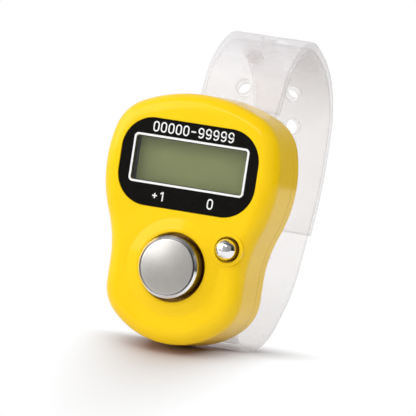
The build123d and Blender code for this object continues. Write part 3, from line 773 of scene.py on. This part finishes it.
def strap_layout():
    """The strap's middle line, its thickness and the distances of its holes along it, from its solid."""
    bm = bmesh.new()
    bm.from_mesh(nodes["finger_strap"].data)
    bmesh.ops.remove_doubles(bm, verts=bm.verts, dist=WELD)
    middle, thickness = middle_line(flank_loop(bm))
    holes = hole_distances(bm, middle)
    bm.free()
    return middle, thickness, holes


def strap_stations(length, holes):
    """Distances along the strap for its rows, and the first and last row of each hole's patch."""
    stations = [0.0]
    patches = []

    def go_to(stop, steps):
        start = stations[-1]
        stations.extend(start + (stop - start) * step / steps for step in range(1, steps + 1))

    for hole in holes:
        start = hole - STRAP_PATCH_REACH
        go_to(start, math.ceil((start - stations[-1]) / STRAP_STEP))
        patches.append((len(stations) - 1, len(stations) - 1 + STRAP_ACROSS_STEPS))
        go_to(hole + STRAP_PATCH_REACH, STRAP_ACROSS_STEPS)
    go_to(length, math.ceil((length - stations[-1]) / STRAP_STEP))
    return stations, patches


def quarter_arc(steps):
    """Sine and cosine at even steps over a quarter turn."""
    angles = [step / steps * math.pi / 2 for step in range(steps + 1)]
    return [(math.sin(angle), math.cos(angle)) for angle in angles]


def strap_section(half_width, thickness):
    """Half of the strap's section, from the middle of its face round its edge to the middle of its back."""
    flat = half_width - STRAP_EDGE_RADIUS
    core = thickness / 2 - STRAP_EDGE_RADIUS
    half_steps = STRAP_ACROSS_STEPS // 2
    face = [(flat * step / half_steps, thickness / 2) for step in range(half_steps)]
    edge = [
        (flat + STRAP_EDGE_RADIUS * sine, core + STRAP_EDGE_RADIUS * cosine)
        for sine, cosine in quarter_arc(STRAP_EDGE_STEPS)
    ]
    upper = face + edge
    return upper + [(x, -out) for x, out in reversed(upper)]


def hole_wall(thickness):
    """Radii and heights down a hole's wall and its round rims, from the strap's face to its back."""
    rim = [
        (STRAP_HOLE_RADIUS + STRAP_RIM_RADIUS * (1 - sine), thickness / 2 - STRAP_RIM_RADIUS * (1 - cosine))
        for sine, cosine in quarter_arc(STRAP_RIM_STEPS)
    ]
    return rim + [(radius, -out) for radius, out in reversed(rim)]


def strap_skin(bm, rows, patches, back_middle):
    """Faces between the strap's rows, apart from the flats of its face and back in the holes' patches."""
    count = len(rows[0])
    half_steps = STRAP_ACROSS_STEPS // 2
    holed_rows = {row for first, last in patches for row in range(first, last)}
    flats = {(middle + k) % count for middle in (0, back_middle) for k in range(-half_steps, half_steps)}
    for i, (row, onward) in enumerate(zip(rows, rows[1:])):
        for k in range(count):
            if i in holed_rows and k in flats:
                continue
            j = (k + 1) % count
            bm.faces.new((row[k], row[j], onward[j], onward[k]))


def patch_border(rows, patch, middle, side):
    """The outline of a hole's patch on the strap's face or back, from a corner in the patch's first row."""
    first, last = patch
    half_steps = STRAP_ACROSS_STEPS // 2
    across = [(middle + side * step) % len(rows[0]) for step in range(-half_steps, half_steps + 1)]
    border = [rows[first][k] for k in across]
    border += [rows[i][across[-1]] for i in range(first + 1, last)]
    border += [rows[last][k] for k in reversed(across)]
    border += [rows[i][across[0]] for i in range(last - 1, first, -1)]
    return border


def end_cap(bm, row, back_middle):
    """Faces over an end of the strap, from its face to its back."""
    for side in (1, -1):
        for k in range(back_middle // 2):
            corners = (k, k + 1, back_middle - k - 1, back_middle - k)
            bm.faces.new([row[side * corner % len(row)] for corner in corners])


def clear_strap(material):
    """The strap, laid out flat with round edges and holes, and bent along its route."""
    route, thickness, holes = strap_layout()
    stations, patches = strap_stations(route.length, holes)
    half = strap_section(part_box("finger_strap")[1].x, thickness)
    section = half + [(-x, out) for x, out in reversed(half[1:-1])]
    back_middle = len(half) - 1
    bm = bmesh.new()

    def corner(distance, x, out):
        place = route.at(distance, out)
        return bm.verts.new((x, place.x, place.y))

    rows = [[corner(distance, x, out) for x, out in section] for distance in stations]
    strap_skin(bm, rows, patches, back_middle)
    wall = hole_wall(thickness)
    turns = 4 * STRAP_ACROSS_STEPS
    # One turn round a hole, from the direction of a corner of its patch
    angles = [math.pi * (2 * step / turns - 3 / 4) for step in range(turns)]
    for hole, patch in zip(holes, patches):
        rings = [
            [corner(hole + radius * math.cos(a), radius * math.sin(a), out) for a in angles]
            for radius, out in wall
        ]
        for ring, onward in zip(rings, rings[1:]):
            bridge(bm, ring, onward)
        for middle, side, ring in ((0, 1, rings[0]), (back_middle, -1, rings[-1])):
            # The border and the ring start at the same corner, and the ring runs the other way round
            bridge(bm, patch_border(rows, patch, middle, side), ring[:1] + ring[:0:-1])
    end_cap(bm, rows[0], back_middle)
    end_cap(bm, rows[-1], back_middle)
    loose = [vertex for vertex in bm.verts if not vertex.link_faces]
    bmesh.ops.delete(bm, geom=loose, context="VERTS")
    piece = mesh_piece("clear_strap", bm, "case", material)
    piece.data.shade_smooth()
    piece.modifiers.new("even_shading", "WEIGHTED_NORMAL")
    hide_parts("finger_strap")


def floor_material():
    """Pale matt floor with a painted shadow close to the part, and plain white away from it."""
    look = Look("pale_floor", FLOOR_COLOR, roughness=0.9)
    # Painted shadow: ambient occlusion darkens the floor's colour near the part for every ray but diffuse
    # bounces, which see the plain colour
    near = look.node("AmbientOcclusion")
    near.inputs["Distance"].default_value = FLOOR_SHADE_REACH
    look.vary_color(near.outputs["AO"], FLOOR_SHADE, FLOOR_COLOR, start=0.35, stop=0.95)
    look.tint(look.rays("Is Diffuse Ray"), FLOOR_COLOR)
    reach = look.vector("LENGTH", look.vector("DIVIDE", look.place(), FLOOR_REACH))
    fade = look.spread(reach, low=0, high=1, start=FLOOR_FADE_SHARE, stop=1)
    seen = look.rays("Is Camera Ray")
    for kind in ("Is Glossy Ray", "Is Transmission Ray"):
        seen = look.calculated("MAXIMUM", seen, look.rays(kind))
    share = look.calculated("MULTIPLY", seen, fade)
    white = look.node("Emission")
    look.surface(look.mixed(share, look.bsdf, white.outputs["Emission"]))
    return look.material


def floor_profile():
    """Places in Y and Z: level behind and under the part, then bending down towards the viewer."""
    places = [(FLOOR_LENGTH, 0)]
    for step in range(FLOOR_BEND_STEPS + 1):
        slope = FLOOR_SLOPE * step / FLOOR_BEND_STEPS
        drop = FLOOR_BEND_RADIUS * (1 - math.cos(slope))
        places.append((FLOOR_BEND_Y - FLOOR_BEND_RADIUS * math.sin(slope), -drop))
    y, z = places[-1]
    places.append((y - FLOOR_LENGTH * math.cos(FLOOR_SLOPE), z - FLOOR_LENGTH * math.sin(FLOOR_SLOPE)))
    return places


def pale_floor():
    """The sheet that the part stands on."""
    bm = bmesh.new()
    rows = [
        [bm.verts.new((x, y, z)) for x in (-FLOOR_HALF_WIDTH, FLOOR_HALF_WIDTH)]
        for y, z in floor_profile()
    ]
    for first, second in zip(rows, rows[1:]):
        bm.faces.new((first[0], first[1], second[1], second[0]))
    middle = Vector((0, FLOOR_MIDDLE_Y, 0))
    bmesh.ops.translate(bm, verts=bm.verts, vec=-middle)
    floor = link_object("floor", mesh_from("floor", bm, floor_material()))
    floor.location = middle
    floor.data.shade_smooth()


def studio_world():
    """White where it is looked at, soft where it lights the part, and darker to the right in mirrors."""
    world = bpy.data.worlds.new("studio")
    world.use_nodes = True
    look = Shading(world.node_tree)

    def background(strength):
        shader = look.node("Background")
        shader.inputs["Color"].default_value = (*WHITE, 1)
        shader.inputs["Strength"].default_value = strength
        return shader

    direction = look.node("TexCoord").outputs["Generated"]
    turn = look.spread(look.vector("DOT_PRODUCT", direction, MIRROR_DARK_SIDE), 0, 1, start=-1, stop=1)
    greys = [(position, (level, level, level)) for position, level in MIRROR_LEVELS]
    mirrored = background(1)
    look.link(look.ramp(turn, greys), mirrored.inputs["Color"])
    fill, white = (background(level).outputs["Background"] for level in (FILL_LEVEL, 1))
    lit = look.mixed(look.rays("Is Glossy Ray"), fill, mirrored.outputs["Background"])
    seen = look.calculated("MAXIMUM", look.rays("Is Camera Ray"), look.rays("Is Transmission Ray"))
    output = look.node("OutputWorld")
    look.link(look.mixed(seen, lit, white), output.inputs["Surface"])
    bpy.context.scene.world = world


def softbox(name, place, width, height, power):
    """A soft lamp that points at the part."""
    lamp = bpy.data.lights.new(name, "AREA")
    lamp.shape = "RECTANGLE"
    lamp.size = width
    lamp.size_y = height
    lamp.energy = power
    lamp_object = link_object(name, lamp)
    aim = (cad_box[0] + cad_box[1]) / 2
    turn = (aim - Vector(place)).to_track_quat("-Z", "Y").to_matrix().to_4x4()
    lamp_object.matrix_world = Matrix.Translation(place) @ turn


def viewer():
    """The camera, with the photograph's direction, lean and framing."""
    ahead = math.cos(VIEW_ELEVATION)
    back = Vector((math.sin(VIEW_YAW) * ahead, -math.cos(VIEW_YAW) * ahead, math.sin(VIEW_ELEVATION)))
    level = Vector((math.cos(VIEW_YAW), math.sin(VIEW_YAW), 0))
    upright = back.cross(level)
    right = level * math.cos(VIEW_ROLL) + upright * math.sin(VIEW_ROLL)
    up = upright * math.cos(VIEW_ROLL) - level * math.sin(VIEW_ROLL)
    target = Vector((VIEW_TARGET_X, front_y + VIEW_TARGET_DEPTH, VIEW_TARGET_Z))
    data = bpy.data.cameras.new("viewer")
    data.sensor_width = VIEW_SENSOR
    data.lens = VIEW_LENS
    data.clip_start = VIEW_NEAREST
    data.clip_end = VIEW_FARTHEST
    camera = link_object("viewer", data)
    turn = Matrix((right, up, back)).transposed().to_4x4()
    camera.matrix_world = Matrix.Translation(target + back * VIEW_DISTANCE) @ turn
    bpy.context.scene.camera = camera


finishes = {
    "yellow_case": yellow_plastic(),
    "label_black": black_print(),
    "clear_lens": lens_sheet(),
    "lcd_glass": display_glass(),
    "bright_chrome": bright_chrome("mirror_chrome", roughness=0.05),
    "satin_chrome": satin_chrome(),
    "spring_steel": rolled_metal("spring_metal", color=(0.66, 0.65, 0.61), roughness=0.3),
    "screw_steel": rolled_metal("screw_metal", color=(0.58, 0.58, 0.57), roughness=0.32),
    "cell_steel": rolled_metal("cell_metal", color=(0.74, 0.74, 0.72), roughness=0.24),
    "board_green": moulded(
        "board_laminate", low=(0.01, 0.075, 0.022), high=(0.014, 0.1, 0.03), roughness=0.4, grain=1.5 * MM
    ),
    "epoxy_black": moulded(
        "epoxy_resin", low=(0.008, 0.008, 0.008), high=(0.016, 0.015, 0.015), roughness=0.35, grain=0.8 * MM
    ),
    "chip_tan": moulded(
        "ceramic_tan", low=(0.3, 0.19, 0.09), high=(0.36, 0.24, 0.12), roughness=0.55, grain=0.3 * MM
    ),
    "chip_black": moulded(
        "ceramic_black", low=(0.012, 0.012, 0.014), high=(0.025, 0.025, 0.028), roughness=0.5, grain=0.3 * MM
    ),
    "zebra_rubber": moulded(
        "zebra_elastomer", low=(0.2, 0.2, 0.21), high=(0.5, 0.48, 0.5), roughness=0.7, grain=0.2 * MM
    ),
    "clear_vinyl": clear_vinyl("clear_vinyl", milk=0.17, edge_milk=0.6),
}
white_ink = white_print()

for part in frame["record"]["subparts"]:
    node = nodes[part["node"]]
    node.data.materials.clear()
    node.data.materials.append(finishes[part["material_slot"]])

nodes["count_button"].data.materials[0] = bright_chrome("buffed_chrome", roughness=0.17)
nodes["strap_stud"].data.materials[0] = clear_vinyl("clear_stud", milk=0.02, edge_milk=0.12)

clear_strap(finishes["clear_vinyl"])
satin_face(finishes["satin_chrome"])
sprung_dome("count_snap", "count_dome", finishes["spring_steel"])
sprung_dome("reset_snap", "reset_dome", finishes["spring_steel"])
window_sleeve(finishes["label_black"])
window_line(white_ink)
label_print(white_ink)

pale_floor()
studio_world()
softbox("key_lamp", place=(-0.53, -0.42, 0.26), width=0.8, height=0.4, power=2.1)
softbox("front_lamp", place=(0.3, -0.65, 0.2), width=1.8, height=1.2, power=2.0)
softbox("top_lamp", place=(-0.1, -0.34, 0.38), width=0.6, height=0.14, power=0.6)
viewer()
bpy.context.scene.view_settings.view_transform = "Standard"
bpy.context.scene.cycles.transparent_max_bounces = CLEAR_SURFACES
